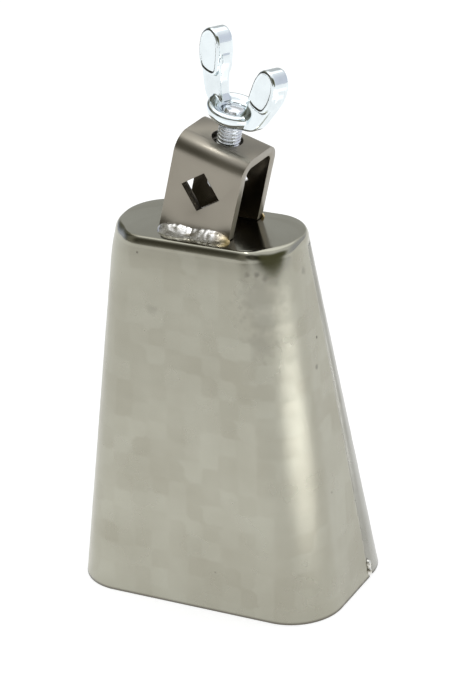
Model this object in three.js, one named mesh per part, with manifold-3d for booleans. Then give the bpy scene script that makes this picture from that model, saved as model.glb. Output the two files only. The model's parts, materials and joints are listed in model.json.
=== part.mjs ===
// A mountable steel cowbell, standing on its mouth.
// Millimetres, +Z up, origin at the centre of the mouth, front towards -Y, long side of the mouth along X.
// Two pressed shells lap at the sides and are welded at the bottom of each seam. A bent strap bracket is
// welded to the top and leans towards +X. Square holes in its legs take a 3/8 inch (9.5 mm) rod, and a
// wing screw through its top clamps that rod in the V of the holes.

import * as THREE from 'three';
import { mergeVertices } from 'three/addons/utils/BufferGeometryUtils.js';
import Module from 'manifold-3d';

const wasm = await Module();
wasm.setup();

// ---- driving dimensions ----

const GAP = 0.3; // between neighbouring pieces

// bell body
const BELL_HEIGHT = 127;
const SHEET = 1.0;
const MOUTH = { halfLength: 47.4, halfDepth: 29.9, corner: 17.4 };
const SHOULDER = { halfLength: 32.85, halfDepth: 17.2, corner: 15.2 };
const TOP_FLAT = { halfLength: 32.0, halfDepth: 16.4, corner: 14.2 };
const ROLL_HEIGHT = 1.8; // height of the rolled edge around the top
const SHOULDER_Z = BELL_HEIGHT - ROLL_HEIGHT;
const CORNER_STEPS = 9;
const BELOW_MOUTH = -5; // cuts start at this height

// side seams: the front shell's flange ends on this sloping line, the rear shell passes behind it
const SEAM_TOP_Z = 123;
const SEAM_TOP_Y = 4.5;
const SEAM_MOUTH_Y = 9.6;
const LAP = 6;
const JOGGLE_LENGTH = 2.6; // width of the step that takes the rear shell in under the flange

// mounting bracket, bent from 1 x 1/8 inch strap
const STRAP_WIDTH = 25.4;
const STRAP_DEPTH = 21.75;
const STRAP_HEIGHT = 32.3;
const STRAP_SHEET = 3.2;
const STRAP_BEND = 2.8; // inside bend radius
const STRAP_AT = [-0.7, 1.6];
const STRAP_LEAN = THREE.MathUtils.degToRad(15.5);
const STRAP_TURN = THREE.MathUtils.degToRad(-3.2);
const ROD_HOLE_SIDE = 10;
const ROD_HOLE_X = -0.55;
const ROD_HOLE_Z = 16.3;
const SCREW_HOLE_RADIUS = 5.15;
const SCREW_X = 0.4;

// M8 screw and its nut
const THREAD = { outer: 3.9, root: 3.3, tip: 2.7, pitch: 1.25 };
const STUD_TIP = -18.2; // heights along the screw's axis, from the top face of the bracket
const STUD_TOP = 11.4;
const ENGAGED_RADIUS = THREAD.outer + GAP; // plain bores around the stud
const NUT = { acrossFlats: 13, height: 6.5, chamfer: 1.5 };
const NUT_TOP = -STRAP_SHEET - GAP;
const TACK_SIZE = [1.9, 2.6, 1.9];

// wing head, heights again from the top face of the bracket
const WING_TURN = THREE.MathUtils.degToRad(-21);
const WEB_THICKNESS = 4.4;
const PAD_THICKNESS = 6.0;
const WING_BEVEL = 1.0;
const HUB_BASE = 7.0;
const HUB_PROFILE = [[6.1, HUB_BASE], [7.7, 8.1], [8.8, 9.7], [9.1, 11.0], [8.8, 12.0], [7.6, 12.5]];
// one wing, in the plane of the screw's axis: distance from the axis, height
const WEB_ROOT = [[2, 11.8], [2, 7.6]];
const WEB_OUTER_START = [7, 7.6];
const WEB_OUTER_EDGE = [[11.7, 10.8], [15.2, 16.8], [18.3, 24.2]];
const WEB_TIP = [[17.4, 29.5], [12.5, 30.0]];
const WEB_INNER_EDGE = [[8.9, 24.5], [8.0, 17.5], [6.6, 13.4]];
const PAD_LOWER_EDGE = [[9.4, 19.6], [14.6, 18.9]];
const PAD_ROUND_EDGE = [[16.8, 21.6], [17.8, 25.6], [17.6, 29.4], [15.2, 31.9], [12.2, 31.2], [10.4, 28.2],
  [9.5, 24.4], PAD_LOWER_EDGE[0]];

// weld beads
const BRACKET_WELD = { reach: 2.9, height: 3.0, lobes: 2, waist: 0.2, sections: 13 };
const FRONT_WELD_ENDS = [-13.6, 13.6];
const REAR_WELD_ENDS = [-13.0, 14.2];
const SEAM_WELD_BLOBS = [
  { z: 4.5, y: 1.3, size: [0.7, 0.95, 1.9] },
  { z: 2.3, y: 0.1, size: [0.7, 1.05, 1.8] },
];

// ---- closed solids: to and from manifold, lofts and sheets ----

function vectors(pairs) {
  return pairs.map(([x, y]) => new THREE.Vector2(x, y));
}

function toSolid(geometry) {
  const bare = geometry.clone();
  for (const name of Object.keys(bare.attributes)) {
    if (name !== 'position') bare.deleteAttribute(name);
  }
  const merged = mergeVertices(bare, 1e-5);
  return new wasm.Manifold(new wasm.Mesh({
    numProp: 3,
    vertProperties: new Float32Array(merged.attributes.position.array),
    triVerts: new Uint32Array(merged.index.array),
  }));
}

function toGeometry(solid) {
  const mesh = solid.getMesh();
  const geometry = new THREE.BufferGeometry();
  geometry.setAttribute('position', new THREE.BufferAttribute(mesh.vertProperties, 3));
  geometry.setIndex(new THREE.BufferAttribute(mesh.triVerts, 1));
  geometry.computeVertexNormals();
  return geometry;
}

function indexed(points, triangles) {
  const geometry = new THREE.BufferGeometry();
  geometry.setFromPoints(points);
  geometry.setIndex(triangles);
  return geometry;
}

// A solid through convex closed rings, given bottom to top, each anticlockwise seen from above.
function loft(rings) {
  const count = rings[0].length;
  const points = rings.flat();
  const triangles = [];
  for (let level = 0; level + 1 < rings.length; level += 1) {
    for (let i = 0; i < count; i += 1) {
      const a = level * count + i;
      const b = level * count + ((i + 1) % count);
      triangles.push(a, b, b + count, a, b + count, a + count);
    }
  }
  const last = (rings.length - 1) * count;
  for (let i = 1; i + 1 < count; i += 1) {
    triangles.push(0, i + 1, i, last, last + i, last + i + 1);
  }
  return indexed(points, triangles);
}

// A sheet between an outer and an inner line at each level, both running the same way.
function sheet(levels) {
  const count = levels[0].outer.length;
  const points = levels.flatMap(({ outer, inner }) => [...outer, ...inner]);
  const outerAt = (level, i) => level * 2 * count + i;
  const innerAt = (level, i) => outerAt(level, i) + count;
  const triangles = [];
  const quad = (a, b, c, d) => triangles.push(a, b, c, a, c, d);
  const top = levels.length - 1;
  for (let i = 0; i + 1 < count; i += 1) {
    for (let level = 0; level < top; level += 1) {
      quad(outerAt(level, i), outerAt(level, i + 1), outerAt(level + 1, i + 1), outerAt(level + 1, i));
      quad(innerAt(level, i + 1), innerAt(level, i), innerAt(level + 1, i), innerAt(level + 1, i + 1));
    }
    quad(outerAt(0, i + 1), outerAt(0, i), innerAt(0, i), innerAt(0, i + 1));
    quad(outerAt(top, i), outerAt(top, i + 1), innerAt(top, i + 1), innerAt(top, i));
  }
  for (let level = 0; level < top; level += 1) {
    quad(innerAt(level, 0), outerAt(level, 0), outerAt(level + 1, 0), innerAt(level + 1, 0));
    const end = count - 1;
    quad(outerAt(level, end), innerAt(level, end), innerAt(level + 1, end), outerAt(level + 1, end));
  }
  return indexed(points, triangles);
}

// ---- the bell's outline ----

function between(a, b, share) {
  return Object.fromEntries(
    Object.keys(a).map((key) => [key, THREE.MathUtils.lerp(a[key], b[key], share)]),
  );
}

function grown(outline, by) {
  return {
    halfLength: outline.halfLength + by,
    halfDepth: outline.halfDepth + by,
    corner: outline.corner + by,
  };
}

// The straight wall, from the mouth to the shoulder.
function wallOutline(z) {
  return between(MOUTH, SHOULDER, z / SHOULDER_Z);
}

function ring({ halfLength, halfDepth, corner }, z) {
  const points = [];
  for (let quarter = 0; quarter < 4; quarter += 1) {
    const signX = quarter === 0 || quarter === 3 ? 1 : -1;
    const signY = quarter < 2 ? 1 : -1;
    for (let step = 0; step <= CORNER_STEPS; step += 1) {
      const angle = (quarter + step / CORNER_STEPS) * (Math.PI / 2);
      points.push(new THREE.Vector3(
        signX * (halfLength - corner) + corner * Math.cos(angle),
        signY * (halfDepth - corner) + corner * Math.sin(angle),
        z,
      ));
    }
  }
  return points;
}

function bellRings() {
  const rings = [ring(MOUTH, 0), ring(wallOutline(SEAM_TOP_Z), SEAM_TOP_Z)];
  const steps = 4;
  for (let step = 0; step <= steps; step += 1) {
    const angle = (step / steps) * (Math.PI / 2);
    rings.push(ring(
      between(TOP_FLAT, SHOULDER, Math.cos(angle)),
      SHOULDER_Z + ROLL_HEIGHT * Math.sin(angle),
    ));
  }
  return rings;
}

function seamY(z) {
  return THREE.MathUtils.lerp(SEAM_MOUTH_Y, SEAM_TOP_Y, z / SEAM_TOP_Z);
}

// A point and outward normal on the rear half of the right-hand wall, at depth y.
function wallPoint(outline, y) {
  const centreX = outline.halfLength - outline.corner;
  const centreY = outline.halfDepth - outline.corner;
  const rise = THREE.MathUtils.clamp((y - centreY) / outline.corner, 0, 1);
  const run = Math.sqrt(1 - rise * rise);
  return {
    point: new THREE.Vector2(centreX + outline.corner * run, y),
    normal: new THREE.Vector2(run, rise),
  };
}

// ---- bell pieces ----

function frontShell() {
  const inside = loft([
    ring(grown(wallOutline(BELOW_MOUTH), -SHEET), BELOW_MOUTH),
    ring(grown(SHOULDER, -SHEET), SHOULDER_Z - SHEET / 2),
    ring(grown(TOP_FLAT, -SHEET / 2), BELL_HEIGHT - SHEET),
  ]);
  // everything behind the seam line, below the skirt of the top
  const behind = new THREE.Shape([
    new THREE.Vector2(seamY(BELOW_MOUTH), BELOW_MOUTH),
    new THREE.Vector2(MOUTH.halfDepth * 2, BELOW_MOUTH),
    new THREE.Vector2(MOUTH.halfDepth * 2, SEAM_TOP_Z),
    new THREE.Vector2(SEAM_TOP_Y, SEAM_TOP_Z),
  ]);
  const width = MOUTH.halfLength * 3;
  const cut = new THREE.ExtrudeGeometry(behind, { depth: width, bevelEnabled: false });
  // the shape's axes become world Y and Z, and its depth becomes world X
  cut.applyMatrix4(new THREE.Matrix4().makeBasis(
    new THREE.Vector3(0, 1, 0),
    new THREE.Vector3(0, 0, 1),
    new THREE.Vector3(1, 0, 0),
  ));
  cut.translate(-width / 2, 0, 0);
  return toGeometry(toSolid(loft(bellRings())).subtract(toSolid(inside)).subtract(toSolid(cut)));
}

function rearSection(z) {
  const outline = wallOutline(z);
  const seam = seamY(z);
  const tuck = SHEET + GAP;
  const lapEnd = seam + GAP;
  const half = [];
  const add = (y) => {
    const { point, normal } = wallPoint(outline, y);
    const share = THREE.MathUtils.clamp((y - lapEnd) / JOGGLE_LENGTH, 0, 1);
    const depth = tuck * (1 - THREE.MathUtils.smoothstep(share, 0, 1));
    half.push({
      outer: point.clone().addScaledVector(normal, -depth),
      inner: point.clone().addScaledVector(normal, -depth - SHEET),
    });
  };
  for (const step of [0, 0.5, 1]) add(seam - LAP + step * (LAP + GAP));
  const joggleSteps = 5;
  for (let step = 1; step <= joggleSteps; step += 1) add(lapEnd + (step / joggleSteps) * JOGGLE_LENGTH);
  // from the joggle to the corner's end at the back wall, in equal angles
  const flatBack = outline.halfDepth - outline.corner;
  const started = Math.asin(Math.max(0, (lapEnd + JOGGLE_LENGTH - flatBack) / outline.corner));
  for (let step = 1; step <= CORNER_STEPS; step += 1) {
    const angle = THREE.MathUtils.lerp(started, Math.PI / 2, step / CORNER_STEPS);
    add(flatBack + outline.corner * Math.sin(angle));
  }
  const mirrored = [...half].reverse();
  const line = (key) => [
    ...half.map((p) => new THREE.Vector3(p[key].x, p[key].y, z)),
    ...mirrored.map((p) => new THREE.Vector3(-p[key].x, p[key].y, z)),
  ];
  return { outer: line('outer'), inner: line('inner') };
}

function rearShell() {
  const levels = 5;
  const sections = [];
  for (let level = 0; level < levels; level += 1) {
    sections.push(rearSection((level / (levels - 1)) * (SEAM_TOP_Z - GAP)));
  }
  return toGeometry(toSolid(sheet(sections)));
}

function seamWeld(side) {
  const blobs = SEAM_WELD_BLOBS.map(({ z, y, size }) => {
    const { point } = wallPoint(wallOutline(z), seamY(z) + y);
    const blob = new THREE.SphereGeometry(1, 12, 8);
    blob.scale(...size);
    blob.translate(side * (point.x + GAP), point.y, z);
    return toSolid(blob);
  });
  const clearOfShells = loft([
    ring(grown(MOUTH, GAP), BELOW_MOUTH),
    ring(grown(MOUTH, GAP), 0),
    ring(grown(wallOutline(SEAM_TOP_Z), GAP), SEAM_TOP_Z),
  ]);
  return toGeometry(blobs[0].add(blobs[1]).subtract(toSolid(clearOfShells)));
}

// ---- bracket pieces, in the bracket's own leaning frame: its foot's centre at the origin ----

function strapOutline() {
  const half = STRAP_DEPTH / 2;
  const bendOut = STRAP_BEND + STRAP_SHEET;
  const foot = -half; // legs start well below the plate and are cut to it afterwards
  const inside = half - STRAP_SHEET;
  const outline = new THREE.Shape();
  outline.moveTo(-half, foot);
  outline.lineTo(-inside, foot);
  outline.lineTo(-inside, STRAP_HEIGHT - bendOut);
  outline.absarc(-inside + STRAP_BEND, STRAP_HEIGHT - bendOut, STRAP_BEND, Math.PI, Math.PI / 2, true);
  outline.lineTo(inside - STRAP_BEND, STRAP_HEIGHT - STRAP_SHEET);
  outline.absarc(inside - STRAP_BEND, STRAP_HEIGHT - bendOut, STRAP_BEND, Math.PI / 2, 0, true);
  outline.lineTo(inside, foot);
  outline.lineTo(half, foot);
  outline.lineTo(half, STRAP_HEIGHT - bendOut);
  outline.absarc(half - bendOut, STRAP_HEIGHT - bendOut, bendOut, 0, Math.PI / 2, false);
  outline.lineTo(-half + bendOut, STRAP_HEIGHT);
  outline.absarc(-half + bendOut, STRAP_HEIGHT - bendOut, bendOut, Math.PI / 2, Math.PI, false);
  return outline;
}

function mountingBracket() {
  const strap = new THREE.ExtrudeGeometry(strapOutline(), {
    depth: STRAP_WIDTH,
    bevelEnabled: false,
    curveSegments: 6,
  });
  // the outline's axes become Y and Z, and its depth becomes X
  strap.applyMatrix4(new THREE.Matrix4().makeBasis(
    new THREE.Vector3(0, 1, 0),
    new THREE.Vector3(0, 0, 1),
    new THREE.Vector3(1, 0, 0),
  ));
  strap.translate(-STRAP_WIDTH / 2, 0, 0);

  const rodHole = new THREE.BoxGeometry(ROD_HOLE_SIDE, STRAP_DEPTH * 2, ROD_HOLE_SIDE);
  rodHole.rotateY(Math.PI / 4);
  rodHole.translate(ROD_HOLE_X, 0, ROD_HOLE_Z);

  const screwHole = new THREE.CylinderGeometry(SCREW_HOLE_RADIUS, SCREW_HOLE_RADIUS, STRAP_DEPTH / 2, 32);
  screwHole.rotateX(Math.PI / 2);
  screwHole.translate(SCREW_X, 0, STRAP_HEIGHT);

  const slab = STRAP_WIDTH * 2;
  const bellTop = new THREE.BoxGeometry(slab, slab, slab);
  bellTop.translate(0, 0, GAP - slab / 2);
  bellTop.rotateY(-STRAP_LEAN);

  return toGeometry(
    toSolid(strap).subtract(toSolid(rodHole)).subtract(toSolid(screwHole)).subtract(toSolid(bellTop)),
  );
}

// A fillet bead along X at the foot of a leg; side is -1 for the front leg and 1 for the rear leg.
function bracketWeld(side, [startX, endX]) {
  const { reach, height, lobes, waist, sections } = BRACKET_WELD;
  const face = STRAP_DEPTH / 2 + GAP;
  const arcSteps = 4;
  const rings = [];
  for (let section = 0; section < sections; section += 1) {
    const share = section / (sections - 1);
    const x = THREE.MathUtils.lerp(startX, endX, share);
    const swell = 1 - waist + waist * Math.sqrt(Math.abs(Math.sin(lobes * Math.PI * share)));
    const outline = [new THREE.Vector3(x, side * face, GAP)];
    for (let step = 0; step <= arcSteps; step += 1) {
      const angle = (step / arcSteps) * (Math.PI / 2);
      outline.push(new THREE.Vector3(
        x,
        side * (face + reach * swell * Math.cos(angle)),
        GAP + height * swell * Math.sin(angle),
      ));
    }
    rings.push(side > 0 ? outline : outline.reverse());
  }
  return toGeometry(toSolid(loft(rings)));
}

// The nut's outer solid, grown by a margin: a hexagon with flats towards the legs, its ends turned conical.
function nutBody(margin) {
  const flat = NUT.acrossFlats / 2 + margin;
  const corner = flat / Math.cos(Math.PI / 6);
  const half = NUT.height / 2 + margin;
  const hexagon = new THREE.CylinderGeometry(corner, corner, half * 2, 6);
  hexagon.rotateX(Math.PI / 2).rotateZ(Math.PI / 2);
  const endRadius = corner - NUT.chamfer;
  const clear = corner + GAP; // the cones run on past the corners
  const rise = NUT.chamfer + GAP;
  const profile = [[0, -half], [endRadius, -half], [clear, rise - half], [clear, half - rise],
    [endRadius, half], [0, half]];
  const turned = new THREE.LatheGeometry(vectors(profile), 48);
  turned.rotateX(Math.PI / 2);
  return toSolid(hexagon).intersect(toSolid(turned)).translate([0, 0, NUT_TOP - NUT.height / 2]);
}

function weldNut() {
  const bore = new THREE.CylinderGeometry(ENGAGED_RADIUS, ENGAGED_RADIUS, STRAP_HEIGHT * 2, 24);
  bore.rotateX(Math.PI / 2);
  return toGeometry(nutBody(0).subtract(toSolid(bore)));
}

// A dab of weld between a corner of the nut and the underside of the bracket's top.
function nutTack(side) {
  const corner = NUT.acrossFlats / 2 / Math.cos(Math.PI / 6);
  const dab = new THREE.SphereGeometry(1, 14, 10);
  dab.scale(...TACK_SIZE);
  dab.translate(side * (corner + GAP), 0, NUT_TOP);
  const strap = new THREE.BoxGeometry(STRAP_WIDTH, STRAP_WIDTH, STRAP_WIDTH);
  strap.translate(0, 0, NUT_TOP + STRAP_WIDTH / 2);
  return toGeometry(toSolid(dab).subtract(nutBody(GAP)).subtract(toSolid(strap)));
}

// ---- screw pieces, in the screw's frame: on its axis, at the top face of the bracket ----

function threadedStud() {
  const profile = [new THREE.Vector2(0, STUD_TIP), new THREE.Vector2(THREAD.tip, STUD_TIP)];
  const turns = Math.floor((STUD_TOP - STUD_TIP) / THREAD.pitch) - 1;
  for (let turn = 0; turn < turns; turn += 1) {
    const crest = STUD_TIP + (turn + 1) * THREAD.pitch;
    profile.push(new THREE.Vector2(THREAD.root, crest - THREAD.pitch / 2));
    profile.push(new THREE.Vector2(THREAD.outer, crest));
  }
  profile.push(new THREE.Vector2(THREAD.root, STUD_TOP), new THREE.Vector2(0, STUD_TOP));
  const stud = new THREE.LatheGeometry(profile, 16);
  stud.rotateX(Math.PI / 2);
  return toGeometry(toSolid(stud));
}

function webOutline() {
  const web = new THREE.Shape();
  web.moveTo(...WEB_ROOT[1]);
  web.lineTo(...WEB_OUTER_START);
  web.splineThru(vectors(WEB_OUTER_EDGE));
  for (const corner of WEB_TIP) web.lineTo(...corner);
  web.splineThru(vectors(WEB_INNER_EDGE));
  web.lineTo(...WEB_ROOT[0]);
  return web;
}

function padOutline() {
  const pad = new THREE.Shape();
  pad.moveTo(...PAD_LOWER_EDGE[0]);
  pad.lineTo(...PAD_LOWER_EDGE[1]);
  pad.splineThru(vectors(PAD_ROUND_EDGE));
  return pad;
}

function wingPlate(outline, thickness) {
  const plate = new THREE.ExtrudeGeometry(outline, {
    depth: thickness - 2 * WING_BEVEL,
    bevelEnabled: true,
    bevelThickness: WING_BEVEL,
    bevelSize: WING_BEVEL,
    bevelSegments: 2,
    curveSegments: 4,
  });
  plate.translate(0, 0, WING_BEVEL - thickness / 2);
  plate.rotateX(Math.PI / 2);
  return plate;
}

function wingHead() {
  const hubTop = HUB_PROFILE.at(-1)[1];
  const profile = [[0, HUB_BASE], ...HUB_PROFILE, [0, hubTop]];
  const hub = new THREE.LatheGeometry(vectors(profile), 32);
  hub.rotateX(Math.PI / 2);
  let head = toSolid(hub);
  for (const turn of [0, Math.PI]) {
    for (const plate of [wingPlate(webOutline(), WEB_THICKNESS), wingPlate(padOutline(), PAD_THICKNESS)]) {
      head = head.add(toSolid(plate.rotateZ(turn)));
    }
  }
  const bore = new THREE.CylinderGeometry(ENGAGED_RADIUS, ENGAGED_RADIUS, STRAP_HEIGHT * 2, 24);
  bore.rotateX(Math.PI / 2);
  return toGeometry(head.subtract(toSolid(bore)));
}

// ---- materials ----

const nickel = { color: 0xafae9e, roughness: 0.35, metalness: 0.9 };
const zinc = { color: 0xc9ccd2, roughness: 0.25, metalness: 1.0 };
const chrome = { color: 0xe6ebf0, roughness: 0.1, metalness: 1.0 };
const bead = { color: 0xd8d2c4, roughness: 0.5, metalness: 0.8 };

function piece(name, geometry, finish) {
  const mesh = new THREE.Mesh(geometry, new THREE.MeshStandardMaterial(finish));
  mesh.name = name;
  return mesh;
}

// ---- assembly ----

const screw = new THREE.Group();
screw.position.set(SCREW_X, 0, STRAP_HEIGHT);
const wing = piece('wing_head', wingHead(), chrome);
wing.rotation.z = WING_TURN;
screw.add(
  piece('threaded_stud', threadedStud(), zinc),
  wing,
  piece('weld_nut', weldNut(), zinc),
  piece('nut_tack_right', nutTack(1), bead),
  piece('nut_tack_left', nutTack(-1), bead),
);

const leaning = new THREE.Group();
leaning.rotation.y = STRAP_LEAN;
leaning.add(piece('mounting_bracket', mountingBracket(), nickel), screw);

const foot = new THREE.Group();
foot.position.set(...STRAP_AT, BELL_HEIGHT);
foot.rotation.z = STRAP_TURN;
foot.add(
  leaning,
  piece('bracket_weld_front', bracketWeld(-1, FRONT_WELD_ENDS), bead),
  piece('bracket_weld_rear', bracketWeld(1, REAR_WELD_ENDS), bead),
);

const cowbell = new THREE.Group();
cowbell.add(
  piece('front_shell', frontShell(), nickel),
  piece('rear_shell', rearShell(), nickel),
  piece('seam_weld_right', seamWeld(1), bead),
  piece('seam_weld_left', seamWeld(-1), bead),
  foot,
);

export default cowbell;
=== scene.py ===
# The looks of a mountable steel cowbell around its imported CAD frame, in metres, standing on its mouth.
# The shells are satin plated and hand hammered, the strap bracket is satin plated, and the screw's wing
# is chromed.

import json
import math

import bmesh
import bpy
import numpy as np
from mathutils import Matrix, Vector, noise


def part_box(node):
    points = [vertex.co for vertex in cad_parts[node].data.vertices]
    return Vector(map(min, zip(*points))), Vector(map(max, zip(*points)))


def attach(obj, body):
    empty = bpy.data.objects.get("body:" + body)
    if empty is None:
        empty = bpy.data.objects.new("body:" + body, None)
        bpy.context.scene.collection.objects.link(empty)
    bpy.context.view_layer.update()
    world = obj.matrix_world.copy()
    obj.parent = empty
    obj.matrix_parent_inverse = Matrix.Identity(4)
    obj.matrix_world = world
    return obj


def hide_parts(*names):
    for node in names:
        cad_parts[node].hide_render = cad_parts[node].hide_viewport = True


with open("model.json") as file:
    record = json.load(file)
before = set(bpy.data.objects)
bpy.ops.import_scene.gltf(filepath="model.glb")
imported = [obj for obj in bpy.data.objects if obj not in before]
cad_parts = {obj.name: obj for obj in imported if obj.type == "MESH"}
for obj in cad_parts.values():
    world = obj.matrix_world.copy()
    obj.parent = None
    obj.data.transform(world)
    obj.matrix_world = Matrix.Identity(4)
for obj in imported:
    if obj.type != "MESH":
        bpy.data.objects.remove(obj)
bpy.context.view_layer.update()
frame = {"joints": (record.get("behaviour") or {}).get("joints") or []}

MM = 0.001

# ---- sizes in millimetres: the frame's, and the CAD's own dimensions ----

GAP = 0.3  # between pieces that touch or are fused on the real object
SHEET = 1.0
BELL_LOW, BELL_HIGH = (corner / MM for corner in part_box("front_shell"))
BELL_HEIGHT = BELL_HIGH.z
SHOULDER_Z = 125.2
MOUTH = np.array([BELL_HIGH.x, -BELL_LOW.y, 17.4])  # half length, half depth, corner radius
SHOULDER = np.array([32.85, 17.2, 15.2])
ROLL_HEIGHT, ROLL_INSET = 3.2, 1.5  # the rolled edge round the top plate
REAR_TOP_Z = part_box("rear_shell")[1].z / MM
SEAM_TOP_Z = REAR_TOP_Z + GAP
SEAM_TOP_Y = 4.5
SEAM_MOUTH_Y = 9.6
LAP = 6.0  # of the rear shell behind the flanges
JOGGLE = 2.6  # width of its step inwards

STRAP_WIDTH = 25.4
STRAP_DEPTH = 21.75  # over both legs
STRAP_HEIGHT = 32.3  # along the screw's axis
STRAP_SHEET = 3.2
STRAP_BEND = 2.8  # inside radius
ROD_HOLE_SIDE = 10.0
ROD_HOLE_FROM_MIDDLE, ROD_HOLE_FROM_FOOT = -0.55, 16.3
SCREW_HOLE_RADIUS = 5.15

THREAD_OUTER, THREAD_ROOT, PITCH = 3.9, 3.3, 1.25
STUD_TIP, STUD_TOP = -18.2, 11.4
ENGAGED_RADIUS = THREAD_OUTER + GAP
NUT_FLATS, NUT_HEIGHT = 13.0, 6.5

# ---- the screw's frame: on its axis, at the top face of the bracket, x along the strap's width ----

hinge = next(joint for joint in frame["joints"] if joint["name"] == "wing_turn")
SCREW_AXIS = Vector(hinge["axis"]).normalized()
SCREW_AT = Vector(hinge["pos_m"])
LEG_NORMAL = Vector((0, 0, 1)).cross(SCREW_AXIS).normalized()
STRAP_X = LEG_NORMAL.cross(SCREW_AXIS)
SCREW_TURN = Matrix((STRAP_X, LEG_NORMAL, SCREW_AXIS)).transposed().to_4x4()
SCREW_FRAME = Matrix.Translation(SCREW_AT) @ SCREW_TURN
SCREW_X = 0.4  # from the strap's middle to the screw's axis
ROD_HOLE_X = ROD_HOLE_FROM_MIDDLE - SCREW_X
ROD_HOLE_Z = ROD_HOLE_FROM_FOOT - STRAP_HEIGHT
# the foot's frame stands upright on the bell's top, turned with the legs
FOOT_AT = SCREW_FRAME @ (Vector((-SCREW_X, 0, -STRAP_HEIGHT)) * MM)
FOOT_FRAME = Matrix.Translation(FOOT_AT) @ Matrix.Rotation(math.atan2(SCREW_AXIS.y, SCREW_AXIS.x), 4, "Z")
WORLD = Matrix.Identity(4)


# ---- meshes ----

def mesh_piece(name, points, faces, placed=WORLD, sharp=40, sheet=()):
    """An object from points in millimetres in a given frame, smooth but for edges over the sharp angle.
    Sheet metal also stores where each point lies on the flattened sheet."""
    mesh = bpy.data.meshes.new(name)
    mesh.from_pydata([placed @ (Vector(p) * MM) for p in points], [], faces)
    if sheet:
        flat = mesh.attributes.new("flat_sheet", "FLOAT_VECTOR", "POINT")
        flat.data.foreach_set("vector", [value * MM for length, z in sheet for value in (length, 0, z)])
    mesh.validate()
    piece = bpy.data.objects.new(name, mesh)
    bpy.context.scene.collection.objects.link(piece)
    shade(mesh, sharp)
    return piece


def shade(mesh, sharp):
    mesh.polygons.foreach_set("use_smooth", [True] * len(mesh.polygons))
    mesh.set_sharp_from_angle(angle=math.radians(sharp))


def grid_faces(rows, columns, closed=False):
    """Quads between the rows of a grid; closed joins each row's last point to its first."""
    faces = []
    for row in range(rows - 1):
        for column in range(columns if closed else columns - 1):
            a = row * columns + column
            b = row * columns + (column + 1) % columns
            faces.append((a, b, b + columns, a + columns))
    return faces


def torus_faces(rows, columns):
    """Quads of a grid that closes on itself along both its rows and its columns."""
    last = (rows - 1) * columns
    joining = [(last + i, last + (i + 1) % columns, (i + 1) % columns, i) for i in range(columns)]
    return grid_faces(rows, columns, closed=True) + joining


def face_outwards(piece, merge=False):
    """Turns every face outwards, after merging points that coincide where that is asked for."""
    mesh = bmesh.new()
    mesh.from_mesh(piece.data)
    if merge:
        bmesh.ops.remove_doubles(mesh, verts=mesh.verts, dist=0.01 * MM)
    bmesh.ops.recalc_face_normals(mesh, faces=mesh.faces)
    mesh.to_mesh(piece.data)
    mesh.free()


def add_modifier(piece, kind, **settings):
    modifier = piece.modifiers.new(kind.title(), kind)
    for key, value in settings.items():
        setattr(modifier, key, value)
    return modifier


def round_edges(piece, width, segments=3, angle=35):
    add_modifier(piece, "BEVEL", width=width * MM, segments=segments, limit_method="ANGLE",
                 angle_limit=math.radians(angle), harden_normals=True)


def apply_modifiers(piece, sharp=40):
    """Turns the modifiers' result into the piece's own mesh."""
    bpy.context.view_layer.update()
    result = bpy.data.meshes.new_from_object(piece.evaluated_get(bpy.context.evaluated_depsgraph_get()))
    piece.modifiers.clear()
    old = piece.data
    piece.data = result
    bpy.data.meshes.remove(old)
    shade(result, sharp)


def cut(piece, tools):
    """Takes each tool away from a piece."""
    for tool in tools:
        add_modifier(piece, "BOOLEAN", operation="DIFFERENCE", solver="EXACT", object=tool)
        apply_modifiers(piece)
        bpy.data.objects.remove(tool)


def finish_piece(piece, body, node, material):
    """Gives a piece its material and its place in the frame."""
    piece.data.materials.clear()
    piece.data.materials.append(material)
    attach(piece, body)
    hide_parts(node)


# ---- the bell's outline: a rounded rectangle, followed by length from the front's middle ----

def wall_outline(z):
    """The half length, half depth and corner radius of the outline at a height."""
    return MOUTH + (SHOULDER - MOUTH) * (z / SHOULDER_Z)


def along(outline, length):
    """The point and outward normal at a length along the outline, positive to the right of the middle."""
    half_x, half_y, corner = outline
    side = math.copysign(1, length)
    left = abs(length)
    straight_x, straight_y, arc = half_x - corner, 2 * (half_y - corner), corner * math.pi / 2
    if left <= straight_x:
        return (side * left, -half_y), (0, -1)
    left -= straight_x
    if left <= arc:
        turn = left / corner
        normal = (side * math.sin(turn), -math.cos(turn))
        return (side * straight_x + corner * normal[0], -straight_y / 2 + corner * normal[1]), normal
    left -= arc
    if left <= straight_y:
        return (side * half_x, left - straight_y / 2), (side, 0)
    left -= straight_y
    if left <= arc:
        turn = left / corner
        normal = (side * math.cos(turn), math.sin(turn))
        return (side * straight_x + corner * normal[0], straight_y / 2 + corner * normal[1]), normal
    left -= arc
    return (side * (straight_x - left), half_y), (0, 1)


def half_perimeter(outline):
    half_x, half_y, corner = outline
    return 2 * (half_x - corner) + 2 * (half_y - corner) + math.pi * corner


def seam_length(outline, z):
    """The length along the outline at which the side seam crosses it."""
    half_x, half_y, corner = outline
    y = SEAM_MOUTH_Y + (SEAM_TOP_Y - SEAM_MOUTH_Y) * min(z / SEAM_TOP_Z, 1)
    length = half_x - corner + corner * math.pi / 2 + (half_y - corner)
    if y <= half_y - corner:
        return length + y
    return length + half_y - corner + corner * math.asin((y - half_y + corner) / corner)


# ---- hammering: shallow dishes left by the blows, on a jittered grid over the flattened sheet ----

BLOW_WIDTH, BLOW_HEIGHT = 6.6, 6.4
BLOW_JITTER = 0.3
DISH_DEPTH = 0.08


def blow_centre(column, row):
    """A blow's centre in cells of the grid, moved off the cell's middle a little."""
    jitter = noise.cell_vector(Vector((column + 0.5, row + 0.5, 3.5)))
    start = 0.5 - BLOW_JITTER / 2
    return column + start + BLOW_JITTER * jitter.x, row + start + BLOW_JITTER * jitter.y


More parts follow.
